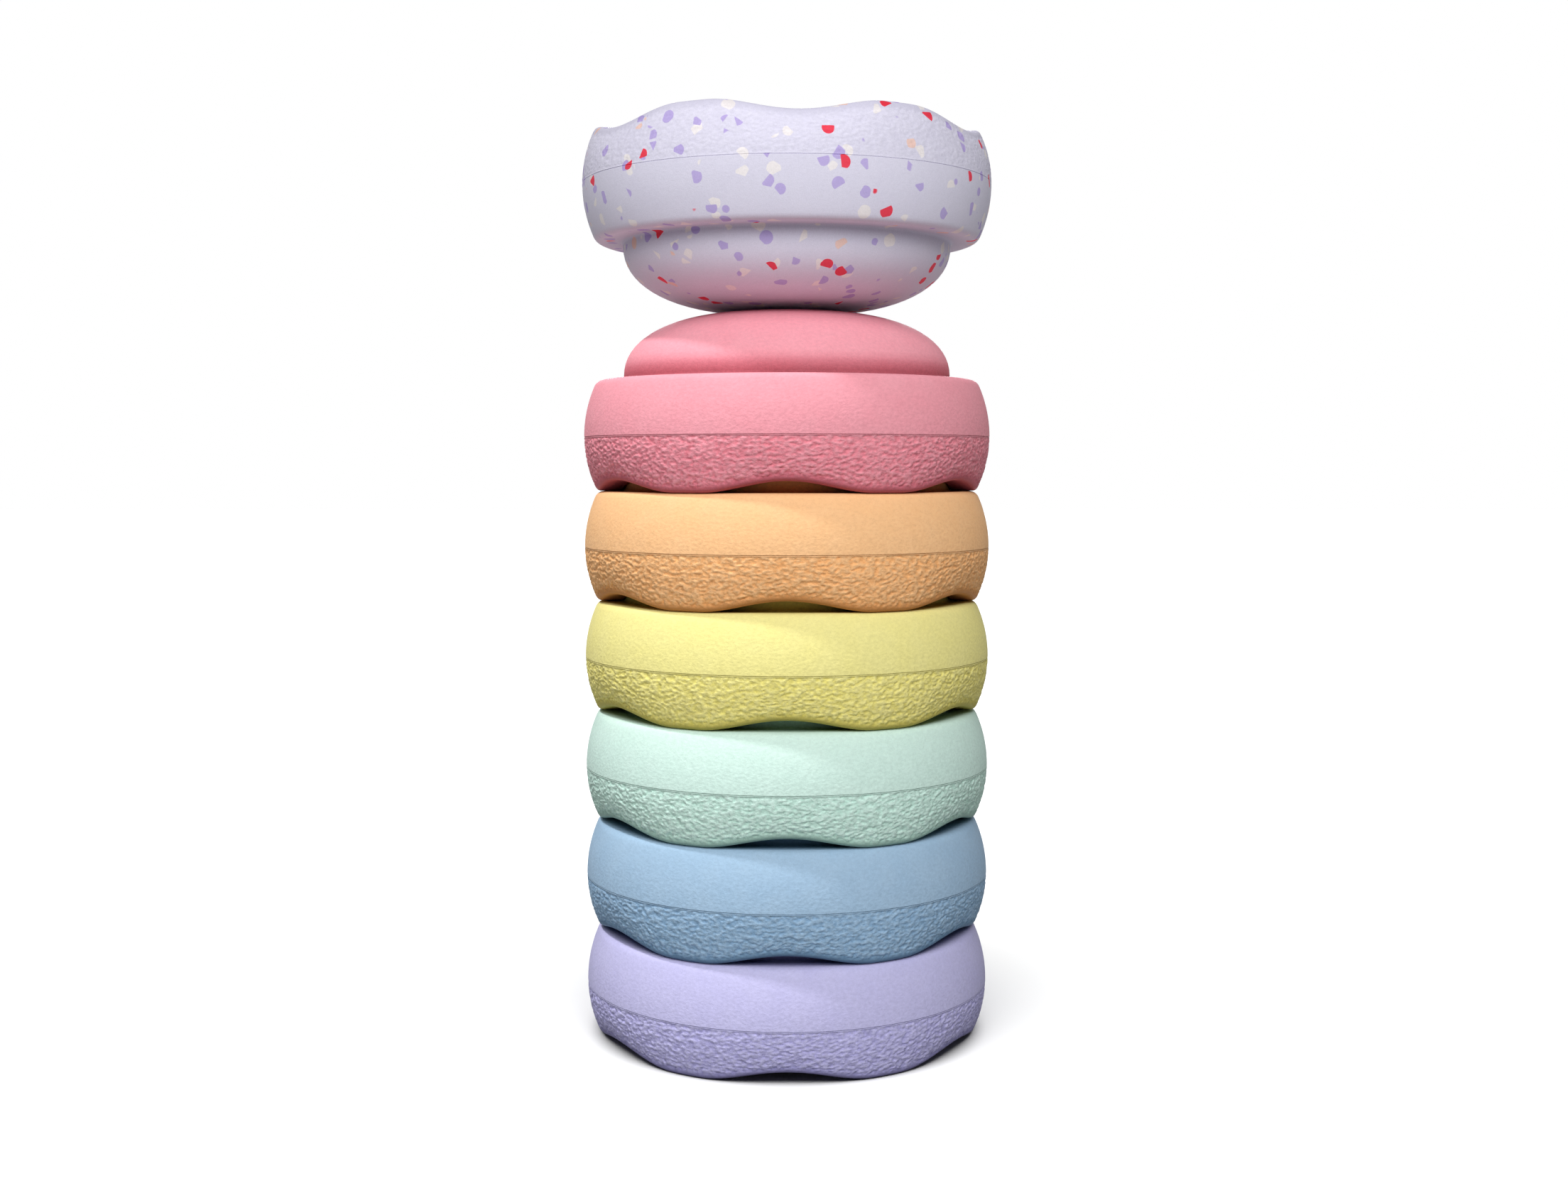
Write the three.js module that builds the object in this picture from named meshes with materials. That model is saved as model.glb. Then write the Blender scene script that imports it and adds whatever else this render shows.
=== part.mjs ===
// A stacking set of seven hollow, hat-shaped foam stones. Six nest in a tower, each one's rim on
// the ledge round the dome below, and a speckled one balances upside down, crown on crown.
// Millimetres, +Z up. The origin is on the floor, under the middle of the tower.
import * as THREE from "three";

// Heights of one stone, from its feet
const SEAM_HEIGHT = 36; // parting line of the mould, where the stone is widest
const SEAT_HEIGHT = 74; // ledge that carries the next stone
const DOME_HEIGHT = 46; // from the ledge up to the crown

// Widths of one stone
const OUTER_DIAMETER = 275; // at the parting line
const SHOULDER_INSET = 9; // how far the bulging side draws in towards the ledge
const RIM_INSET = 8.5; // how far it draws in towards the feet
const LEDGE_WIDTH = 18; // from the shoulder's corner to the foot of the dome
const CROWN_RADIUS = 24; // flat disc on top of the dome
const DOME_FULLNESS = 2.2; // exponent of the dome's curve: 2 is an ellipse, more is squarer

// Rounded edges
const SHOULDER_ROUND_TOP = 9; // along the ledge
const SHOULDER_ROUND_SIDE = 5; // down the side
const RIM_ROUND = 3; // outer edge of the feet
const RIM_INNER_ROUND = 2.5; // inner edge of the feet
const DOME_FILLET = 2.5; // where the dome meets the ledge

// Hollow underneath
const CROWN_WALL = 18; // foam above the hollow
const NEST_CLEARANCE = 3; // beside the dome that goes into it
const HOLLOW_FULLNESS = 2.2;

// Waves of the lower rim: scoops between flat feet
const WAVE_COUNT = 6;
const SCOOP_DEPTH = 7.5;
const FOOT_SPAN = THREE.MathUtils.degToRad(15);

// Stacking
const SEAT_GAP = 0.3; // between a rim and its ledge, and between two crowns
const BALANCED_TURN = THREE.MathUtils.degToRad(3); // the top stone is set down a little askew

// Fineness of the facets
const STEPS_PER_WAVE = 8;
const DOME_STEPS = 5;
const HOLLOW_STEPS = 4;
const SIDE_STEPS = 2;
const ROUND_STEPS = 2;

const OUTER_RADIUS = OUTER_DIAMETER / 2;
const SHOULDER_RADIUS = OUTER_RADIUS - SHOULDER_INSET;
const DOME_RADIUS = SHOULDER_RADIUS - LEDGE_WIDTH;
const RIM_RADIUS = OUTER_RADIUS - RIM_INSET;
const HOLLOW_RADIUS = DOME_RADIUS + NEST_CLEARANCE;
const CROWN_HEIGHT = SEAT_HEIGHT + DOME_HEIGHT;
const CEILING_HEIGHT = CROWN_HEIGHT - CROWN_WALL;

const TOWER_STONES = [
  { name: "stone_1_lilac", colour: 0xbfbce3 },
  { name: "stone_2_blue", colour: 0xa0bed6 },
  { name: "stone_3_mint", colour: 0xcdeadf },
  { name: "stone_4_yellow", colour: 0xf1e79b },
  { name: "stone_5_apricot", colour: 0xf9c792 },
  { name: "stone_6_rose", colour: 0xe99aa8 },
];
const BALANCED_STONE = { name: "stone_7_confetti", colour: 0xd9d6e6 };

const point = (radius, height) => new THREE.Vector2(radius, height);

// A rounded corner between two points, drawn towards the sharp corner.
function roundedCorner(start, corner, end) {
  return new THREE.QuadraticBezierCurve(start, corner, end).getPoints(ROUND_STEPS);
}

// A quarter of a superellipse, from the edge of a flat top out and down to a vertical foot.
function domeCurve(flatRadius, footRadius, footHeight, topHeight, fullness, steps) {
  const points = [];
  for (let step = 0; step <= steps; step += 1) {
    const angle = (Math.PI / 2) * (step / steps);
    const reach = Math.sin(angle) ** (2 / fullness);
    const rise = Math.cos(angle) ** (2 / fullness);
    const radius = flatRadius + (footRadius - flatRadius) * reach;
    points.push(point(radius, footHeight + (topHeight - footHeight) * rise));
  }
  return points;
}

// The bulging side is two arcs that meet upright at the parting line. This is the radius of the
// arc that draws in by inset over a given height.
const bulgeRadius = (inset, height) => (inset ** 2 + height ** 2) / (2 * inset);

// A point on that side, at a height above the feet.
function sidePoint(height) {
  const away = height - SEAM_HEIGHT;
  const arc = away > 0
    ? bulgeRadius(SHOULDER_INSET, SEAT_HEIGHT - SEAM_HEIGHT)
    : bulgeRadius(RIM_INSET, SEAM_HEIGHT);
  return point(OUTER_RADIUS - arc + Math.sqrt(arc ** 2 - away ** 2), height);
}

// Points on the side from one height to another, without the first.
function sideCurve(fromHeight, toHeight) {
  const points = [];
  for (let step = 1; step <= SIDE_STEPS; step += 1) {
    points.push(sidePoint(THREE.MathUtils.lerp(fromHeight, toHeight, step / SIDE_STEPS)));
  }
  return points;
}

// Half of the stone's section: down the hollow, under the rim, up the side and over the dome.
function stoneSection() {
  const shoulderFoot = SEAT_HEIGHT - SHOULDER_ROUND_SIDE;
  const hollow = domeCurve(
    CROWN_RADIUS, HOLLOW_RADIUS, RIM_INNER_ROUND, CEILING_HEIGHT, HOLLOW_FULLNESS, HOLLOW_STEPS,
  );
  const dome = domeCurve(
    CROWN_RADIUS, DOME_RADIUS, SEAT_HEIGHT + DOME_FILLET, CROWN_HEIGHT, DOME_FULLNESS, DOME_STEPS,
  );
  const rimEdge = roundedCorner(
    point(RIM_RADIUS - RIM_ROUND, 0), point(RIM_RADIUS, 0), sidePoint(RIM_ROUND),
  );
  const shoulder = roundedCorner(
    sidePoint(shoulderFoot),
    point(SHOULDER_RADIUS, SEAT_HEIGHT),
    point(SHOULDER_RADIUS - SHOULDER_ROUND_TOP, SEAT_HEIGHT),
  );
  return [
    point(0, CEILING_HEIGHT),
    ...hollow,
    point(HOLLOW_RADIUS + RIM_INNER_ROUND, 0),
    ...rimEdge,
    ...sideCurve(RIM_ROUND, SEAM_HEIGHT),
    ...sideCurve(SEAM_HEIGHT, shoulderFoot),
    ...shoulder.slice(1),
    point(DOME_RADIUS + DOME_FILLET, SEAT_HEIGHT),
    ...dome.reverse(),
    point(0, CROWN_HEIGHT),
  ];
}

// How far the rim rises at an angle round the stone: the full depth in a scoop, nothing on a foot.
function scoopLift(angle) {
  const wave = (1 + Math.cos(WAVE_COUNT * angle)) / 2;
  const footEdge = (1 - Math.cos((WAVE_COUNT * FOOT_SPAN) / 2)) / 2;
  return SCOOP_DEPTH * Math.max(0, (wave - footEdge) / (1 - footEdge));
}

// The section turned once round, with everything below the parting line drawn up into the waves.
function stoneGeometry() {
  const geometry = new THREE.LatheGeometry(stoneSection(), WAVE_COUNT * STEPS_PER_WAVE);
  geometry.rotateX(Math.PI / 2);
  const place = geometry.getAttribute("position");
  for (let i = 0; i < place.count; i += 1) {
    const share = Math.max(0, 1 - place.getZ(i) / SEAM_HEIGHT);
    const angle = Math.atan2(place.getX(i), -place.getY(i));
    place.setZ(i, place.getZ(i) + share * scoopLift(angle));
  }
  geometry.computeVertexNormals();
  return geometry;
}

const stoneShape = stoneGeometry();

function makeStone({ name, colour }) {
  const foam = new THREE.MeshStandardMaterial({ color: colour, roughness: 0.85, metalness: 0 });
  const stone = new THREE.Mesh(stoneShape, foam);
  stone.name = name;
  return stone;
}

const stackingStones = new THREE.Group();

// The tower: each rim rests on the ledge below it.
const levelPitch = SEAT_HEIGHT + SEAT_GAP;
TOWER_STONES.forEach((kind, level) => {
  const stone = makeStone(kind);
  stone.position.z = level * levelPitch;
  stackingStones.add(stone);
});

// The balanced stone: turned over, so its crown stands on the tower's crown.
const towerHeight = (TOWER_STONES.length - 1) * levelPitch + CROWN_HEIGHT;
const balancedStone = makeStone(BALANCED_STONE);
balancedStone.rotation.x = Math.PI;
const balanced = new THREE.Group();
balanced.rotation.z = BALANCED_TURN;
balanced.position.z = towerHeight + SEAT_GAP + CROWN_HEIGHT;
balanced.add(balancedStone);
stackingStones.add(balanced);

export default stackingStones;
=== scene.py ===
# %% [markdown]
# # A tower of stacking stones
#
# Seven hollow stones of moulded bead foam. Six nest in a tower, each rim on the ledge of the
# stone beneath, and a speckled one balances upside down on the top, crown on crown. All seven
# come out of the same mould, so this lesson makes one stone with care, copies it seven times,
# and spends the rest of its effort on the skin, the colours and the light.

import math

import bmesh
import bpy
from mathutils import Matrix, Vector, noise


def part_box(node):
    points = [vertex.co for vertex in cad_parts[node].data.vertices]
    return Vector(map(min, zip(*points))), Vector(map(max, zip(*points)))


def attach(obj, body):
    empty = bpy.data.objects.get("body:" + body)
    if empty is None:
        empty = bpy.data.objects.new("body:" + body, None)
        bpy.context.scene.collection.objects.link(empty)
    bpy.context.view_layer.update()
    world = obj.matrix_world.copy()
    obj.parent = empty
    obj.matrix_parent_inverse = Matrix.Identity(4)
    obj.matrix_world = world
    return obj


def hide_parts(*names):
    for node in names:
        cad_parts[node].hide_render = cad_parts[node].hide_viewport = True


MM = 0.001

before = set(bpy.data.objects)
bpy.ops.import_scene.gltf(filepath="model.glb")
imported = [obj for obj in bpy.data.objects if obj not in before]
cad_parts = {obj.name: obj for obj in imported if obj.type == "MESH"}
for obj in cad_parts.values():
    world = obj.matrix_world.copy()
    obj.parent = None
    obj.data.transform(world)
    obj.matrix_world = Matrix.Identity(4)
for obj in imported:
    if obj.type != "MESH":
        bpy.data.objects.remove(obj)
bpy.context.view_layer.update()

# %% [markdown]
# ## The camera
#
# The camera comes first, because every later choice is judged through it. It stands a little higher
# than the middle of the tower, about a metre and a quarter in front of it, and looks down by only a
# few degrees: the upper ledges are seen almost edge on, and the lowest feet from clearly above. The
# lens is given as a focal length on a 36 mm sensor, as a photographer would write it down.

# %% Camera
FOCAL_LENGTH_MM = 42.4
SENSOR_WIDTH_MM = 36
CAMERA_PLACE = Vector((-1.9, -1265, 388.2)) * MM
CAMERA_LOOKS_DOWN = math.radians(4.05)

lens = bpy.data.cameras.new("studio_camera")
lens.lens = FOCAL_LENGTH_MM
lens.sensor_width = SENSOR_WIDTH_MM
camera = bpy.data.objects.new("studio_camera", lens)
camera.location = CAMERA_PLACE
camera.rotation_euler = (math.pi / 2 - CAMERA_LOOKS_DOWN, 0, 0)
bpy.context.scene.collection.objects.link(camera)
bpy.context.scene.camera = camera
print("Camera stands", round(camera.location.length, 2), "m from the foot of the tower")

# %% [markdown]
# ## One stone, drawn as half a section
#
# A stone is a body of revolution: a bulging side with the mould's parting line at its widest, a
# ledge that carries the next stone, a dome, and a hollow underneath. It could be sculpted from a
# sphere, but a section that is spun once round gives the same wall everywhere, exactly as the
# mould does. The sizes are the CAD model's own, with a few small changes for the eye: a sharper
# shoulder, a tighter hollow, and feet that are narrower and a hair lower, so that no daylight shows
# through the seats.

# %% Sizes of one stone
SEAM_HEIGHT = 36 * MM
SEAT_HEIGHT = 74 * MM
CROWN_HEIGHT = 120 * MM
CEILING_HEIGHT = 102 * MM
OUTER_RADIUS = 137.5 * MM
SHOULDER_RADIUS = 128.5 * MM
RIM_RADIUS = 129 * MM
DOME_RADIUS = 110.5 * MM
HOLLOW_RADIUS = 111 * MM
CROWN_RADIUS = 24 * MM
SEAT_CLOSING = 0.2 * MM
SHOULDER_ROUND_TOP = 5 * MM
SHOULDER_ROUND_SIDE = 4 * MM
RIM_ROUND = 3 * MM
RIM_INNER_ROUND = 2.5 * MM
DOME_FILLET = 2.5 * MM
DOME_FULLNESS = 2.2

stone_low, stone_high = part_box("stone_1_lilac")
print("One stone in the CAD, mm:", [round(side / MM, 1) for side in stone_high - stone_low])

# %% Curves of the section
def spread(start, end, step):
    """Evenly spaced values from start to end, about a step apart, with both ends."""
    count = max(1, round(abs(end - start) / step))
    return [start + (end - start) * i / count for i in range(count + 1)]


def rounded(start, corner, end, count):
    """A rounded corner from start to end, drawn towards the sharp corner."""
    points = []
    for share in spread(0, 1, 1 / count):
        points.append(start.lerp(corner, share).lerp(corner.lerp(end, share), share))
    return points


def dome_curve(foot_radius, foot_height, top_height, count):
    """A quarter of a superellipse, from the edge of the flat crown down to an upright foot."""
    points = []
    for angle in spread(0, math.pi / 2, math.pi / 2 / count):
        reach = math.sin(angle) ** (2 / DOME_FULLNESS)
        rise = max(0, math.cos(angle)) ** (2 / DOME_FULLNESS)
        radius = CROWN_RADIUS + (foot_radius - CROWN_RADIUS) * reach
        points.append(Vector((radius, foot_height + (top_height - foot_height) * rise)))
    return points


def side_point(height):
    """A point on the bulging side: two arcs that meet upright at the parting line."""
    away = height - SEAM_HEIGHT
    if away > 0:
        inset = OUTER_RADIUS - SHOULDER_RADIUS
        reach = SEAT_HEIGHT - SEAM_HEIGHT
    else:
        inset = OUTER_RADIUS - RIM_RADIUS
        reach = SEAM_HEIGHT
    arc = (inset**2 + reach**2) / (2 * inset)
    return Vector((OUTER_RADIUS - arc + math.sqrt(arc**2 - away**2), height))


print("Radius half way up the lower band:", round(side_point(SEAM_HEIGHT / 2).x / MM, 1), "mm")

# %% [markdown]
# ## The parting line
#
# Where the two halves of the mould meet, the foam keeps a fine groove with a soft lip under it.
# It is about a millimetre wide, yet it draws the dark line round the widest part of every stone,
# so it is modelled: a notch in the section costs a handful of points and catches light and shade
# from every side. A point close by on each side of its upper edge keeps that edge crisp. The line
# is darkened further by painted shade in the notch, which the corner attribute brings below.

# %% The notch and the whole section
NOTCH_WIDTH = 0.5 * MM
NOTCH_DEPTH = 0.6 * MM
LIP_ROUND = 0.5 * MM
WALL_HOLD = 0.25 * MM
SLOPE_HOLD = 0.2
CRINKLE_ROW = 0.7 * MM
SIDE_ROW = 3.5 * MM
HOLLOW_STEPS = 12
RIM_INNER_STEPS = 3
RIM_STEPS = 5
LIP_STEPS = 4
SHOULDER_STEPS = 7
FILLET_STEPS = 4
DOME_STEPS = 18


def parting_notch():
    """The groove of the parting line, from the lip below it to the wall above."""
    lip_foot = side_point(SEAM_HEIGHT - NOTCH_WIDTH / 2 - LIP_ROUND)
    notch_floor = Vector((OUTER_RADIUS - NOTCH_DEPTH, SEAM_HEIGHT))
    lip = rounded(lip_foot, side_point(SEAM_HEIGHT - NOTCH_WIDTH / 2), notch_floor, LIP_STEPS)
    wall_foot = side_point(SEAM_HEIGHT + NOTCH_WIDTH / 2)
    return lip + [wall_foot.lerp(notch_floor, SLOPE_HOLD), wall_foot]


def stone_section():
    """Half of the section: down the hollow, under the rim, up the side and over the dome."""
    seam_foot = SEAM_HEIGHT - NOTCH_WIDTH / 2 - LIP_ROUND
    seam_head = SEAM_HEIGHT + NOTCH_WIDTH / 2 + WALL_HOLD
    shoulder_foot = SEAT_HEIGHT - SHOULDER_ROUND_SIDE
    ledge_end = Vector((SHOULDER_RADIUS - SHOULDER_ROUND_TOP, SEAT_HEIGHT))
    fillet_foot = Vector((DOME_RADIUS + DOME_FILLET, SEAT_HEIGHT))
    hollow_foot = Vector((HOLLOW_RADIUS, RIM_INNER_ROUND))
    dome_foot = Vector((DOME_RADIUS, SEAT_HEIGHT + DOME_FILLET))
    rim_inside = Vector((HOLLOW_RADIUS + RIM_INNER_ROUND, -SEAT_CLOSING))
    rim_outside = Vector((RIM_RADIUS - RIM_ROUND, -SEAT_CLOSING))
    rim_inner_corner = Vector((HOLLOW_RADIUS, -SEAT_CLOSING))
    rim_corner = Vector((RIM_RADIUS, -SEAT_CLOSING))
    shoulder_corner = Vector((SHOULDER_RADIUS, SEAT_HEIGHT))
    dome_corner = Vector((DOME_RADIUS, SEAT_HEIGHT))
    points = [Vector((0, CEILING_HEIGHT))]
    points += dome_curve(HOLLOW_RADIUS, RIM_INNER_ROUND, CEILING_HEIGHT, HOLLOW_STEPS)
    points += rounded(hollow_foot, rim_inner_corner, rim_inside, RIM_INNER_STEPS)[1:]
    points += rounded(rim_outside, rim_corner, side_point(RIM_ROUND), RIM_STEPS)
    points += [side_point(height) for height in spread(RIM_ROUND, seam_foot, CRINKLE_ROW)][1:-1]
    points += parting_notch()
    points += [side_point(height) for height in spread(seam_head, shoulder_foot, SIDE_ROW)][:-1]
    points += rounded(side_point(shoulder_foot), shoulder_corner, ledge_end, SHOULDER_STEPS)
    points += rounded(fillet_foot, dome_corner, dome_foot, FILLET_STEPS)
    points += reversed(dome_curve(DOME_RADIUS, dome_foot.y, CROWN_HEIGHT, DOME_STEPS)[:-1])
    points.append(Vector((0, CROWN_HEIGHT)))
    return points


section = stone_section()
print("Points in the section:", len(section))

# %% [markdown]
# ## Spinning the section
#
# The section becomes a chain of edges in front of the axis, and `bmesh.ops.spin` carries it once
# round. Its first and last column are merged, the doubles at the two poles are welded, and the
# normals are worked out afresh, because a spin can come out inside out.

# %% Spin
COLUMNS = 840
WELD_DISTANCE = 0.01 * MM
LITRES_PER_CUBIC_METRE = 1000


def spun_stone(points):
    """A closed stone without its waves, spun from half a section."""
    body = bmesh.new()
    chain = [body.verts.new((0, -point.x, point.y)) for point in points]
    for lower, upper in zip(chain, chain[1:]):
        body.edges.new((lower, upper))
    bmesh.ops.spin(
        body,
        geom=body.verts[:] + body.edges[:],
        cent=(0, 0, 0),
        axis=(0, 0, 1),
        angle=math.tau,
        steps=COLUMNS,
        use_merge=True,
    )
    bmesh.ops.remove_doubles(body, verts=body.verts, dist=WELD_DISTANCE)
    bmesh.ops.recalc_face_normals(body, faces=body.faces)
    return body


stone = spun_stone(section)
litres = stone.calc_volume() * LITRES_PER_CUBIC_METRE
print("The spun stone has", len(stone.faces), "faces and holds", round(litres, 2), "litres of foam")

# %% [markdown]
# ## The wavy rim
#
# The lower rim stands on six flat feet with shallow scoops between them. Cutting the scoops with
# a boolean would leave sharp edges. Instead, everything below the parting line is drawn up: fully
# at the rim, not at all at the line, so the wall stretches as soft foam would. A foot blends into
# its scoops without a crease.

# %% Waves
WAVE_COUNT = 6
SCOOP_DEPTH = 7.5 * MM
FOOT_SPAN = math.radians(8)
FOOT_BLEND = 0.25


def scoop_lift(angle):
    """How far the rim rises at an angle round the stone: nothing on a foot."""
    wave = (1 + math.cos(WAVE_COUNT * angle)) / 2
    foot_edge = (1 - math.cos(WAVE_COUNT * FOOT_SPAN / 2)) / 2
    rise = max(0, (wave - foot_edge) / (1 - foot_edge))
    return SCOOP_DEPTH * rise**2 * (1 + FOOT_BLEND) / (rise + FOOT_BLEND)


for vert in stone.verts:
    share = min(1, max(0, 1 - vert.co.z / SEAM_HEIGHT))
    vert.co.z += share * scoop_lift(math.atan2(vert.co.x, -vert.co.y))
print("Lowest and highest rim, mm: 0 and", round(scoop_lift(0) / MM, 1))

# %% [markdown]
# ## The crinkled band
#
# Below the parting line the skin is pressed into small, soft dents, so a child's fingers find a
# hold. A bump map alone would look flat at the outline and take no shadow, so the dents are real:
# the points of the band move in along their normals, by a noise that is squeezed in height, with a
# finer noise over it. Three attributes are kept for the material: the depth of the dents, which also
# deepens their colour as painted shade, the rough share of the skin (1 in the band and a trace of it
# above), and the corners that get painted shade: the notch, the foot of the dome and the rim.
# The noise is seeded, because `noise_vector` would otherwise take its offsets from the clock.

# %% Crinkle
CRINKLE_SEED = 1
DENT_LENGTH = 2.8 * MM
DENT_HEIGHT = 1.8 * MM
DENT_DEPTH = 0.9 * MM
DENT_STARTS = -0.55
DENT_FULL = 0.7
WANDER_FINENESS = 0.6
WANDER_REACH = 0.5
FINE_DENT_FINENESS = 1.8
FINE_DENT_OFFSET = Vector((7, 3, 5))
FINE_DENT_SHARE = 0.6
BAND_INNER_RADIUS = 122 * MM
SEAM_MARGIN = 0.3 * MM
BAND_FADE_TOP = 1.0 * MM
RIM_MARGIN = 0.5 * MM
BAND_FADE_RIM = 5 * MM
TRACE_AT_SEAM = 0.45
TRACE_AT_LEDGE = 0.25
# How far the painted shade reaches up from the rim and out from the foot of the dome.
RIM_FADE = 7 * MM
CORNER_FADE = 15 * MM
# The corner layer holds painted shade in the notch, at the foot of the dome and along the rim.
SKIN_LAYERS = ("dent", "band", "corner")


def smooth_step(low, high, value):
    """0 at low and before it, 1 at high and past it, and a soft slope between."""
    share = min(1, max(0, (value - low) / (high - low)))
    return share * share * (3 - 2 * share)


def dent(place):
    """Depth of the crinkle at a place, from 0 on the flat skin to 1 at the bottom of a dent."""
    squeezed = Vector((place.x / DENT_LENGTH, place.y / DENT_LENGTH, place.z / DENT_HEIGHT))
    wander = noise.noise_vector(squeezed * WANDER_FINENESS) * WANDER_REACH
    large = noise.noise(squeezed + wander)
    small = noise.noise(squeezed * FINE_DENT_FINENESS + FINE_DENT_OFFSET)
    return smooth_step(DENT_STARTS, DENT_FULL, large + FINE_DENT_SHARE * small)


def above_rim(place):
    """Height of a place above the wavy rim under it."""
    return place.z - scoop_lift(math.atan2(place.x, -place.y))


def rough_share(place):
    """1 in the crinkled band, fading at its ends, and a trace of it on the skin above."""
    if place.z > SEAM_HEIGHT:
        drop = smooth_step(SEAT_HEIGHT, SEAM_HEIGHT, place.z)
        return TRACE_AT_LEDGE + (TRACE_AT_SEAM - TRACE_AT_LEDGE) * drop
    if math.hypot(place.x, place.y) < BAND_INNER_RADIUS:
        return 0
    below_seam = smooth_step(SEAM_MARGIN, BAND_FADE_TOP, SEAM_HEIGHT - place.z)
    return below_seam * smooth_step(RIM_MARGIN, BAND_FADE_RIM, above_rim(place))


def painted_corner_shade(place):
    """Painted shade: 1 in the notch, at the foot of the dome and along the rim, fading to 0 round
    them.
    """
    radius = math.hypot(place.x, place.y)
    at_rim = smooth_step(RIM_FADE, 0, above_rim(place))
    from_dome_foot = math.hypot(radius - DOME_RADIUS, place.z - SEAT_HEIGHT)
    from_notch = math.hypot(radius - OUTER_RADIUS + NOTCH_DEPTH, place.z - SEAM_HEIGHT)
    at_dome = smooth_step(CORNER_FADE, 0, from_dome_foot)
    in_notch = smooth_step(NOTCH_WIDTH, 0, from_notch)
    return max(at_rim, at_dome, in_notch)


noise.seed_set(CRINKLE_SEED)
stone.normal_update()
dent_layer, band_layer, painted_shade_layer = [stone.verts.layers.float.new(name) for name in SKIN_LAYERS]
for vert in stone.verts:
    vert[band_layer] = rough_share(vert.co)
    vert[painted_shade_layer] = painted_corner_shade(vert.co)
    if vert.co.z < SEAM_HEIGHT:
        vert[dent_layer] = dent(vert.co) * vert[band_layer]
print("Points in dents:", sum(1 for vert in stone.verts if vert[dent_layer] > 0))

# %% [markdown]
# ## The skin of the foam
#
# All seven stones share one skin, so it is a node group that every foam material uses. A fine
# grain covers everything, and nicks that are strong in the band and faint above it. Both go into
# a height for a Bump node and, a little, into a shade: the grain as a speckle, the nicks as painted
# shade in their hollows and painted light on their tops. A power deepens the colour in the dents and
# corners as painted shade, and lets it drift over the stone: unlike plain darkening, it makes pink
# redder and not greyer. The corners are dimmed by painted shade as well. The shader itself stays in
# the material.

# %% Node helpers
def new_group(name, inputs, outputs):
    """An empty shader node group with its own sockets, and its input and output nodes."""
    group = bpy.data.node_groups.new(name, "ShaderNodeTree")
    for title, kind in inputs:
        group.interface.new_socket(title, in_out="INPUT", socket_type=kind)
    for title, kind in outputs:
        group.interface.new_socket(title, in_out="OUTPUT", socket_type=kind)
    return group, group.nodes.new("NodeGroupInput"), group.nodes.new("NodeGroupOutput")


def add_node(tree, kind, **settings):
    """A node of a kind with its own settings, such as operation or data_type."""
    node = tree.nodes.new(kind)
    for title, value in settings.items():
        setattr(node, title, value)
    return node


def math_node(tree, operation, first, second):
    """A Math node. Each input is a socket or a number. Returns its output."""
    node = add_node(tree, "ShaderNodeMath", operation=operation)
    for socket, value in zip(node.inputs, (first, second)):
        if isinstance(value, bpy.types.NodeSocket):
            tree.links.new(value, socket)
        else:
            socket.default_value = value
    return node.outputs[0]


def noise_node(tree, place, scale, detail):
    """A noise texture on a place. Returns its value, from 0 to 1."""
    node = add_node(tree, "ShaderNodeTexNoise")
    node.inputs["Scale"].default_value = scale
    node.inputs["Detail"].default_value = detail
    tree.links.new(place, node.inputs["Vector"])
    return node.outputs["Fac"]


def remap(tree, value, from_low, from_high, to_low, to_high):
    """A Map Range node on a value, clamped. Returns its result."""
    node = add_node(tree, "ShaderNodeMapRange")
    tree.links.new(value, node.inputs["Value"])
    for title, number in zip(
        ("From Min", "From Max", "To Min", "To Max"), (from_low, from_high, to_low, to_high)
    ):
        node.inputs[title].default_value = number
    return node.outputs["Result"]


print("Node helpers ready")

# %% The skin group
GRAIN_PER_METRE = 1500
GRAIN_DETAIL = 2
GRAIN_HEIGHT = 0.12
GRAIN_SHADE = 0.04
NICKS_PER_METRE = 400
NICK_DETAIL = 3
NICK_SHADE = 0.18
NICK_SQUEEZE = 1.5
MOTTLE_PER_METRE = 60
MOTTLE_DETAIL = 3
MOTTLE_DEEPENING = 0.03
NOISE_LOW = 0.3
NOISE_HIGH = 0.7
BAND_DEEPENING = 0.05
DENT_SHADE_DEEPENING = 0.3
CORNER_SHADE_DEEPENING = 0.6
CORNER_SHADE = 0.5
SATIN_ROUGHNESS = 0.6
BAND_ROUGHNESS = 0.75


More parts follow.
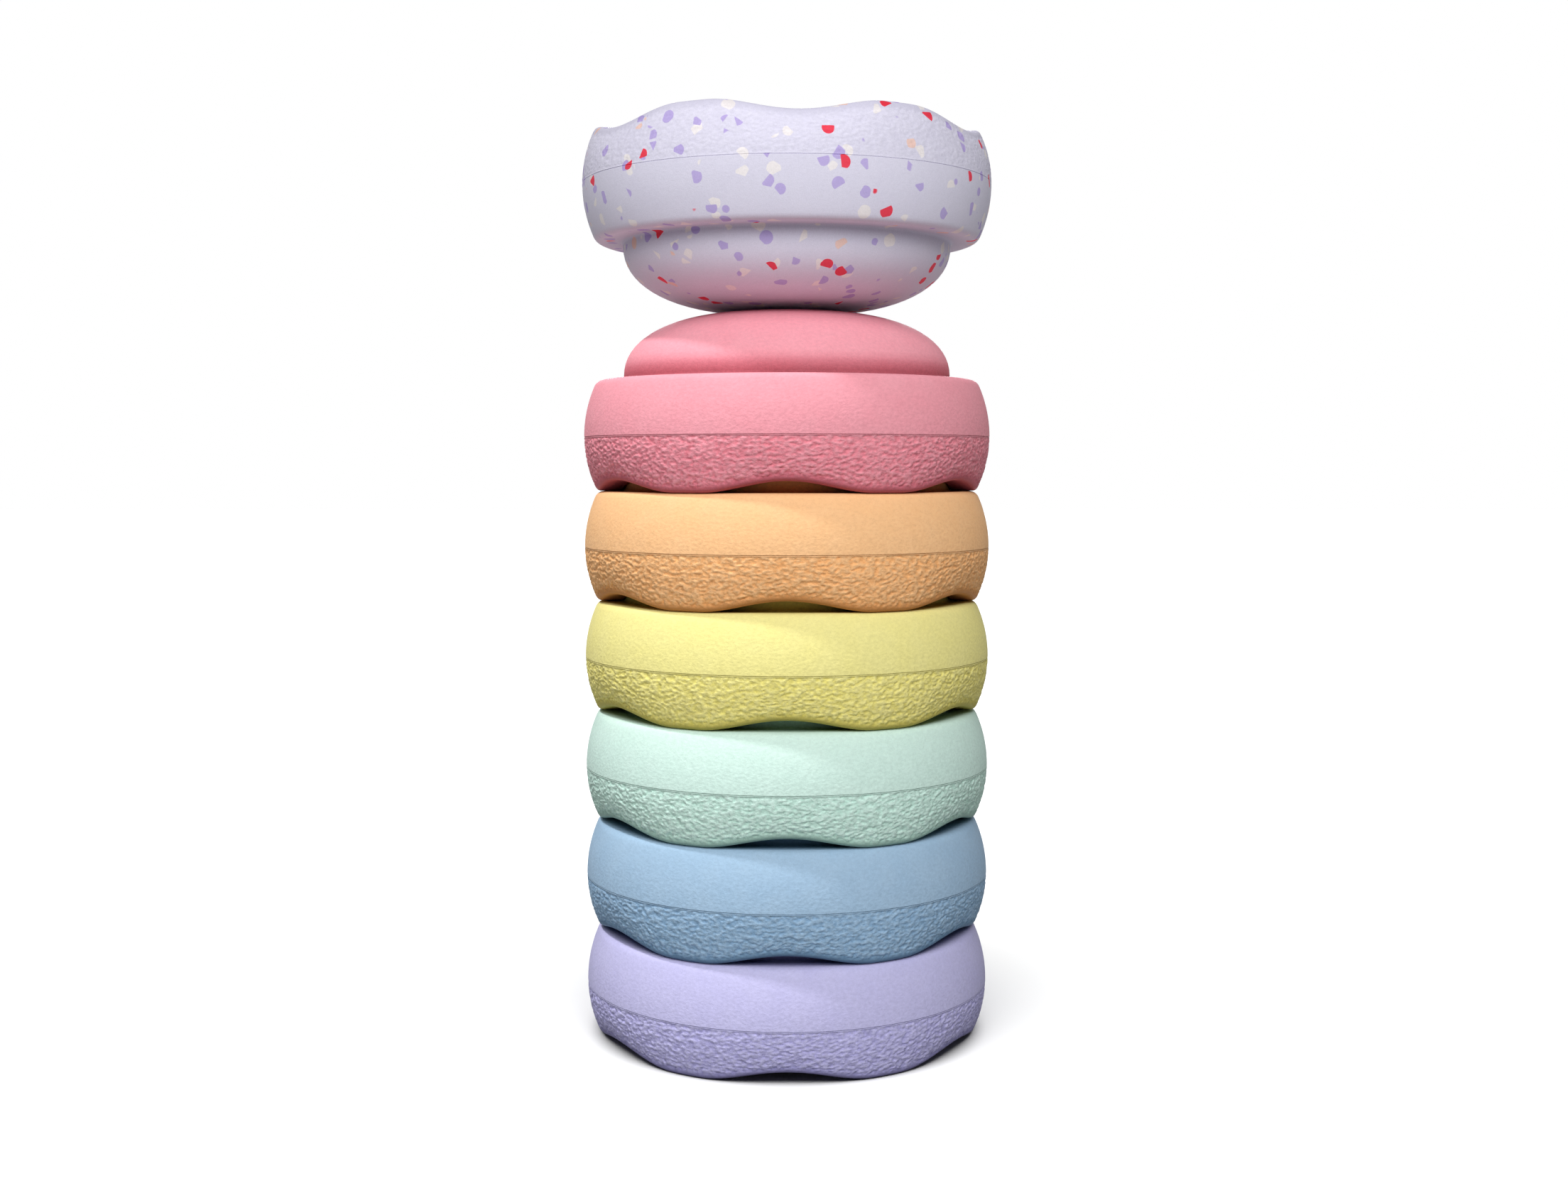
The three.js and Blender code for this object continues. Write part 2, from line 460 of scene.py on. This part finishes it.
def foam_skin_group():
    """Height, shade, deepening and roughness of the skin, from a place and the attributes, with
    painted shade in the shade and deepening.
    """
    group, given, result = new_group(
        "foam_skin",
        [
            ("Place", "NodeSocketVector"),
            ("Band", "NodeSocketFloat"),
            ("Dent", "NodeSocketFloat"),
            ("Corner", "NodeSocketFloat"),
        ],
        [
            ("Height", "NodeSocketFloat"),
            ("Shade", "NodeSocketFloat"),
            ("Deepening", "NodeSocketFloat"),
            ("Roughness", "NodeSocketFloat"),
        ],
    )
    place, band, dents, corner = given.outputs[:4]
    squeeze = add_node(group, "ShaderNodeMapping")
    squeeze.inputs["Scale"].default_value = (1, 1, NICK_SQUEEZE)
    group.links.new(place, squeeze.inputs["Vector"])
    nick_noise = noise_node(group, squeeze.outputs["Vector"], NICKS_PER_METRE, NICK_DETAIL)
    grain = noise_node(group, place, GRAIN_PER_METRE, GRAIN_DETAIL)
    mottle = noise_node(group, place, MOTTLE_PER_METRE, MOTTLE_DETAIL)

    nicks = math_node(group, "MULTIPLY", nick_noise, band)
    pores = math_node(group, "MULTIPLY", grain, GRAIN_HEIGHT)
    group.links.new(math_node(group, "SUBTRACT", pores, nicks), result.inputs["Height"])

    # Painted shade in the hollows of the nicks and painted light on their tops.
    painted_nick_shade = remap(group, nick_noise, NOISE_LOW, NOISE_HIGH, -NICK_SHADE, NICK_SHADE)
    nick_shade = math_node(group, "MULTIPLY", painted_nick_shade, band)
    shade = remap(group, grain, NOISE_LOW, NOISE_HIGH, 1 - GRAIN_SHADE, 1 + GRAIN_SHADE)
    # The corners are dimmed as painted shade.
    for darker in (nick_shade, math_node(group, "MULTIPLY", corner, CORNER_SHADE)):
        shade = math_node(group, "SUBTRACT", shade, darker)
    group.links.new(shade, result.inputs["Shade"])

    deepening = remap(group, mottle, NOISE_LOW, NOISE_HIGH, 1 - MOTTLE_DEEPENING, 1 + MOTTLE_DEEPENING)
    # The band is deepened a little, and the dents and corners as painted shade.
    for share, depth in ((band, BAND_DEEPENING), (dents, DENT_SHADE_DEEPENING), (corner, CORNER_SHADE_DEEPENING)):
        deeper = math_node(group, "MULTIPLY", share, depth)
        deepening = math_node(group, "ADD", deepening, deeper)
    group.links.new(deepening, result.inputs["Deepening"])

    roughness = remap(group, band, 0, 1, SATIN_ROUGHNESS, BAND_ROUGHNESS)
    group.links.new(roughness, result.inputs["Roughness"])
    return group


foam_skin = foam_skin_group()
print("Skin group has", len(foam_skin.nodes), "nodes")

# %% [markdown]
# ## Six plain colours
#
# The tower is coloured in the mass: a soft pastel for each stone. The colours are written as they
# look on a screen and turned into the linear values that a shader works with. Each material places
# the skin group, raises the colour to its power, dims it by its shade and feeds its height to a
# Bump node. The power and the shade carry painted shade in the dents, nicks and corners, and
# painted light on the tops of the nicks.

# %% Foam materials
SKIN_BUMP = 0.7
SKIN_BUMP_DISTANCE = 1.0 * MM
FOAM_SPECULAR = 0.05

FOAM_COLOURS = {
    "lilac": (194, 191, 229),
    "blue": (163, 191, 216),
    "mint": (212, 239, 229),
    "yellow": (245, 236, 157),
    "apricot": (255, 203, 150),
    "rose": (248, 167, 179),
}


def from_screen(colour):
    """A screen colour of 0 to 255 as linear values, with an alpha of 1."""
    linear = []
    for level in colour:
        share = level / 255
        linear.append(share / 12.92 if share <= 0.04045 else ((share + 0.055) / 1.055) ** 2.4)
    return (*linear, 1)


def foam_material(name):
    """A foam finish without its colour. Returns the material, its shader, and the skin node."""
    material = bpy.data.materials.new(name)
    material.use_nodes = True
    tree = material.node_tree
    shader = tree.nodes["Principled BSDF"]
    shader.inputs["Specular IOR Level"].default_value = FOAM_SPECULAR
    skin = add_node(tree, "ShaderNodeGroup", node_tree=foam_skin)
    place = add_node(tree, "ShaderNodeTexCoord")
    tree.links.new(place.outputs["Object"], skin.inputs["Place"])
    for layer_name in SKIN_LAYERS:
        reading = add_node(tree, "ShaderNodeAttribute", attribute_name=layer_name)
        tree.links.new(reading.outputs["Fac"], skin.inputs[layer_name.capitalize()])
    bump = add_node(tree, "ShaderNodeBump")
    bump.inputs["Strength"].default_value = SKIN_BUMP
    bump.inputs["Distance"].default_value = SKIN_BUMP_DISTANCE
    tree.links.new(skin.outputs["Height"], bump.inputs["Height"])
    tree.links.new(bump.outputs["Normal"], shader.inputs["Normal"])
    tree.links.new(skin.outputs["Roughness"], shader.inputs["Roughness"])
    return material, shader, skin


def on_skin(tree, colour, skin):
    """A colour, which is a socket or a screen colour, deepened and shaded by the skin, painted shade
    included.
    """
    power = add_node(tree, "ShaderNodeGamma")
    if isinstance(colour, bpy.types.NodeSocket):
        tree.links.new(colour, power.inputs["Color"])
    else:
        power.inputs["Color"].default_value = from_screen(colour)
    tree.links.new(skin.outputs["Deepening"], power.inputs["Gamma"])
    dimmed = add_node(tree, "ShaderNodeVectorMath", operation="SCALE")
    tree.links.new(power.outputs["Color"], dimmed.inputs["Vector"])
    tree.links.new(skin.outputs["Shade"], dimmed.inputs["Scale"])
    return dimmed.outputs["Vector"]


foams = {}
for name, colour in FOAM_COLOURS.items():
    material, shader, skin = foam_material(name + "_foam_look")
    tree = material.node_tree
    tree.links.new(on_skin(tree, colour, skin), shader.inputs["Base Color"])
    foams[name] = material
print("Plain foams:", ", ".join(foams))

# %% [markdown]
# ## Confetti foam
#
# The balanced stone is moulded from pale lavender beads with chips of ground foam mixed in: red,
# violet, cream and a few peach ones, four to nine millimetres across. Chips cut from a solid block
# show as random polygons, and so do the cells of a 3-D Voronoi texture where the surface cuts
# them. Each colour has its own layer, in which only a small share of the cells is filled.

# %% Chip group
CHIP_EDGE = 0.09
CHIP_REACH = 0.52
CHIP_SOFTNESS = 0.04


def confetti_chip_group():
    """A mask of scattered chips: some cells of a Voronoi pattern, a little smaller than the cell."""
    group, given, result = new_group(
        "confetti_chips",
        [
            ("Place", "NodeSocketVector"),
            ("Offset", "NodeSocketVector"),
            ("Per Metre", "NodeSocketFloat"),
            ("Filled Share", "NodeSocketFloat"),
        ],
        [("Mask", "NodeSocketFloat")],
    )
    place, offset, per_metre, filled_share = given.outputs[:4]
    moved = add_node(group, "ShaderNodeVectorMath", operation="ADD")
    group.links.new(place, moved.inputs[0])
    group.links.new(offset, moved.inputs[1])
    cells = add_node(group, "ShaderNodeTexVoronoi", feature="F1")
    edges = add_node(group, "ShaderNodeTexVoronoi", feature="DISTANCE_TO_EDGE")
    for texture in (cells, edges):
        group.links.new(moved.outputs["Vector"], texture.inputs["Vector"])
        group.links.new(per_metre, texture.inputs["Scale"])
    lot = add_node(group, "ShaderNodeSeparateColor")
    group.links.new(cells.outputs["Color"], lot.inputs["Color"])
    filled = math_node(group, "LESS_THAN", lot.outputs["Red"], filled_share)
    inside = remap(group, edges.outputs["Distance"], CHIP_EDGE, CHIP_EDGE + CHIP_SOFTNESS, 0, 1)
    near = remap(group, cells.outputs["Distance"], CHIP_REACH - CHIP_SOFTNESS, CHIP_REACH, 1, 0)
    chip = math_node(group, "MULTIPLY", math_node(group, "MULTIPLY", filled, inside), near)
    group.links.new(chip, result.inputs["Mask"])
    return group


confetti_chips = confetti_chip_group()
print("Chip group has", len(confetti_chips.nodes), "nodes")

# %% Confetti material
CONFETTI_BASE = (224, 221, 238)
CONFETTI_LAYERS = [
    {"colour": (243, 237, 238), "per_metre": 110, "share": 0.15, "offset": (0.3, 0.1, 0.7)},
    {"colour": (192, 177, 227), "per_metre": 115, "share": 0.12, "offset": (0.9, 0.4, 0.2)},
    {"colour": (244, 210, 200), "per_metre": 120, "share": 0.02, "offset": (0.2, 0.8, 0.5)},
    {"colour": (240, 74, 94), "per_metre": 112, "share": 0.045, "offset": (0.6, 0.6, 0.1)},
]


def confetti_material():
    """Pale foam with four layers of chips, one over the other."""
    material, shader, skin = foam_material("confetti_foam_look")
    tree = material.node_tree
    place = add_node(tree, "ShaderNodeTexCoord").outputs["Object"]
    colour = None
    for layer in CONFETTI_LAYERS:
        chips = add_node(tree, "ShaderNodeGroup", node_tree=confetti_chips)
        chips.inputs["Offset"].default_value = layer["offset"]
        chips.inputs["Per Metre"].default_value = layer["per_metre"]
        chips.inputs["Filled Share"].default_value = layer["share"]
        tree.links.new(place, chips.inputs["Place"])
        mix = add_node(tree, "ShaderNodeMix", data_type="RGBA")
        tree.links.new(chips.outputs["Mask"], mix.inputs["Factor"])
        if colour is None:
            mix.inputs["A"].default_value = from_screen(CONFETTI_BASE)
        else:
            tree.links.new(colour, mix.inputs["A"])
        mix.inputs["B"].default_value = from_screen(layer["colour"])
        colour = mix.outputs["Result"]
    tree.links.new(on_skin(tree, colour, skin), shader.inputs["Base Color"])
    return material


foams["confetti"] = confetti_material()
print("Confetti layers:", len(CONFETTI_LAYERS))

# %% [markdown]
# ## Stacking the seven
#
# Each stone is a copy of the one that was spun, moved to the feet of its CAD node. In the tower it
# is turned by a sixth of a turn more than the one beneath, so the waves line up and no two neighbours
# show the same dents. The balanced stone is turned over first and set down a little askew, and its
# skin is softer: a smaller share of the crinkle and of the painted shade in its dents and corners. The
# place is worked into the mesh, and the object stays at the origin.

# %% Place the stones
TOWER = ["lilac", "blue", "mint", "yellow", "apricot", "rose"]
BALANCED_TURN = math.radians(3)
FULL_CRINKLE_AND_SHADE = 1
SOFT_CRINKLE_AND_SHADE = 0.3


def place_stone(colour, node, turning, feet_height, crinkle):
    """A copy of the stone with a share of its crinkle and painted shade, as an object that stands for
    its CAD node.
    """
    copy = stone.copy()
    layers = {name: copy.verts.layers.float[name] for name in SKIN_LAYERS}
    # The share scales the dents, the band and the painted shade in the corners alike.
    for vert in copy.verts:
        for layer in layers.values():
            vert[layer] *= crinkle
        vert.co -= vert.normal * vert[layers["dent"]] * DENT_DEPTH
    copy.transform(Matrix.Translation((0, 0, feet_height)) @ turning)
    mesh = bpy.data.meshes.new(colour + "_stone")
    copy.to_mesh(mesh)
    copy.free()
    mesh.shade_smooth()
    mesh.materials.append(foams[colour])
    piece = bpy.data.objects.new(colour + "_stone", mesh)
    bpy.context.scene.collection.objects.link(piece)
    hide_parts(node)
    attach(piece, colour)
    return piece


pieces = []
for level, colour in enumerate(TOWER):
    node = f"stone_{level + 1}_{colour}"
    turning = Matrix.Rotation(math.tau / WAVE_COUNT * level, 4, "Z")
    pieces.append(place_stone(colour, node, turning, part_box(node)[0].z, FULL_CRINKLE_AND_SHADE))

upside_down = Matrix.Rotation(BALANCED_TURN, 4, "Z") @ Matrix.Rotation(math.pi, 4, "X")
top_node = "stone_7_confetti"
pieces.append(place_stone("confetti", top_node, upside_down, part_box(top_node)[1].z, SOFT_CRINKLE_AND_SHADE))
print("Stones:", ", ".join(piece.name for piece in pieces))

# %% [markdown]
# ## Studio floor and background
#
# The picture is a white studio with no horizon. The floor is pale paper that keeps the shadow under
# the feet. The camera and reflections see it as white as the world behind it, while light that
# bounces meets a much greyer paper and a dim world, so the stones keep their colour underneath.

# %% Floor and world
FLOOR_SIZE = 30
FLOOR_DROP = 0.3 * MM
FLOOR_PAPER = (0.85, 0.85, 0.85, 1)
FLOOR_BOUNCE = (0.2, 0.2, 0.2, 1)
WORLD_COLOUR = (1, 1, 1, 1)
WORLD_LIGHT = 0.05


def seen_rays(tree):
    """1 for rays that the camera, a reflection or a transmission sends, else 0."""
    path = add_node(tree, "ShaderNodeLightPath")
    seen = path.outputs["Is Camera Ray"]
    for title in ("Is Glossy Ray", "Is Transmission Ray"):
        seen = math_node(tree, "MAXIMUM", seen, path.outputs[title])
    return seen


def floor_material():
    """White paper that keeps the shadow, and greyer paper for light that bounces."""
    material = bpy.data.materials.new("studio_floor")
    material.use_nodes = True
    tree = material.node_tree
    shader = tree.nodes["Principled BSDF"]
    shader.inputs["Roughness"].default_value = 1
    shader.inputs["Specular IOR Level"].default_value = 0
    paper = add_node(tree, "ShaderNodeMix", data_type="RGBA")
    paper.inputs["A"].default_value = FLOOR_BOUNCE
    paper.inputs["B"].default_value = FLOOR_PAPER
    tree.links.new(seen_rays(tree), paper.inputs["Factor"])
    tree.links.new(paper.outputs["Result"], shader.inputs["Base Color"])
    return material


sheet = bmesh.new()
bmesh.ops.create_grid(sheet, x_segments=1, y_segments=1, size=FLOOR_SIZE / 2)
bmesh.ops.translate(sheet, verts=sheet.verts, vec=(0, 0, -FLOOR_DROP))
floor_mesh = bpy.data.meshes.new("studio_floor")
sheet.to_mesh(floor_mesh)
sheet.free()
floor_mesh.materials.append(floor_material())
floor = bpy.data.objects.new("studio_floor", floor_mesh)
bpy.context.scene.collection.objects.link(floor)

world = bpy.data.worlds.new("studio_world")
world.use_nodes = True
bpy.context.scene.world = world
backdrop = world.node_tree.nodes["Background"]
brightness = remap(world.node_tree, seen_rays(world.node_tree), 0, 1, WORLD_LIGHT, 1)
world.node_tree.links.new(brightness, backdrop.inputs["Strength"])
backdrop.inputs["Color"].default_value = WORLD_COLOUR
print("Floor of", FLOOR_SIZE, "m, world light", WORLD_LIGHT)

# %% [markdown]
# ## The lamps
#
# A broad, soft lamp from the front and above does most of the work on the tower. The balanced stone
# shows its underside, so its front lamp stands lower, and the paper has a lamp from above, strong
# enough to leave nothing but the shadow round the feet. A harder lamp, high on the far left, throws
# the edge of each stone's shadow on the one beneath, and a weak one from behind is for whoever walks
# round the model. Suns would do, but light linking is calmer with round area lamps that each light
# one group, so the last two come once for the tower and once for the balanced stone. They stand very
# far away, so the lowest stone gets the same light as the highest.

# %% Lamps
LAMP_DISTANCE = 200
LEFT_STRENGTH_ON_TOWER = 1.8
LEFT_STRENGTH_ON_BALANCED = 0.8


def far_lamp(name, objects, azimuth, elevation, strength, spread_angle):
    """A round lamp for these objects alone, at an azimuth left of the camera and an elevation.

    Angles are in degrees. The strength is what arrives at the tower, in watts per square metre.
    """
    half_spread = math.radians(spread_angle) / 2
    light = bpy.data.lights.new(name, "AREA")
    light.shape = "DISK"
    light.size = 2 * LAMP_DISTANCE * math.tan(half_spread)
    light.energy = math.pi * strength * (LAMP_DISTANCE / math.cos(half_spread)) ** 2
    lamp = bpy.data.objects.new(name, light)
    turn = math.radians(azimuth)
    rise = math.radians(elevation)
    towards = Vector((
        -math.sin(turn) * math.cos(rise),
        -math.cos(turn) * math.cos(rise),
        math.sin(rise),
    ))
    lamp.location = towards * LAMP_DISTANCE
    lamp.rotation_euler = towards.to_track_quat("Z", "Y").to_euler()
    lamp.visible_camera = False
    bpy.context.scene.collection.objects.link(lamp)
    lit = bpy.data.collections.new("lit_by_" + name)
    for lit_object in objects:
        lit.objects.link(lit_object)
    lamp.light_linking.receiver_collection = lit
    return lamp


def side_lamps(group, objects, left_strength):
    """The hard lamp on the far left and the weak one behind, for one group of stones."""
    left = far_lamp(
        group + "_left_lamp", objects,
        azimuth=79, elevation=66, strength=left_strength, spread_angle=4,
    )
    back = far_lamp(
        group + "_back_lamp", objects,
        azimuth=180, elevation=12, strength=1.4, spread_angle=20,
    )
    return [left, back]


tower = pieces[:-1]
balanced = pieces[-1:]
lamps = [
    far_lamp("tower_front_lamp", tower, azimuth=0, elevation=40, strength=2.7, spread_angle=36),
    far_lamp("balanced_front_lamp", balanced, azimuth=0, elevation=29, strength=2.85, spread_angle=44),
    far_lamp("paper_lamp", [floor], azimuth=8, elevation=70, strength=5.3, spread_angle=60),
]
lamps += side_lamps("tower", tower, LEFT_STRENGTH_ON_TOWER)
lamps += side_lamps("balanced", balanced, LEFT_STRENGTH_ON_BALANCED)
print("Lamps:", ", ".join(lamp.name for lamp in lamps))

# %% [markdown]
# ## Hand over
#
# The standard view transform shows the colours as they were written.

# %% Finish
bpy.context.scene.view_settings.view_transform = "Standard"
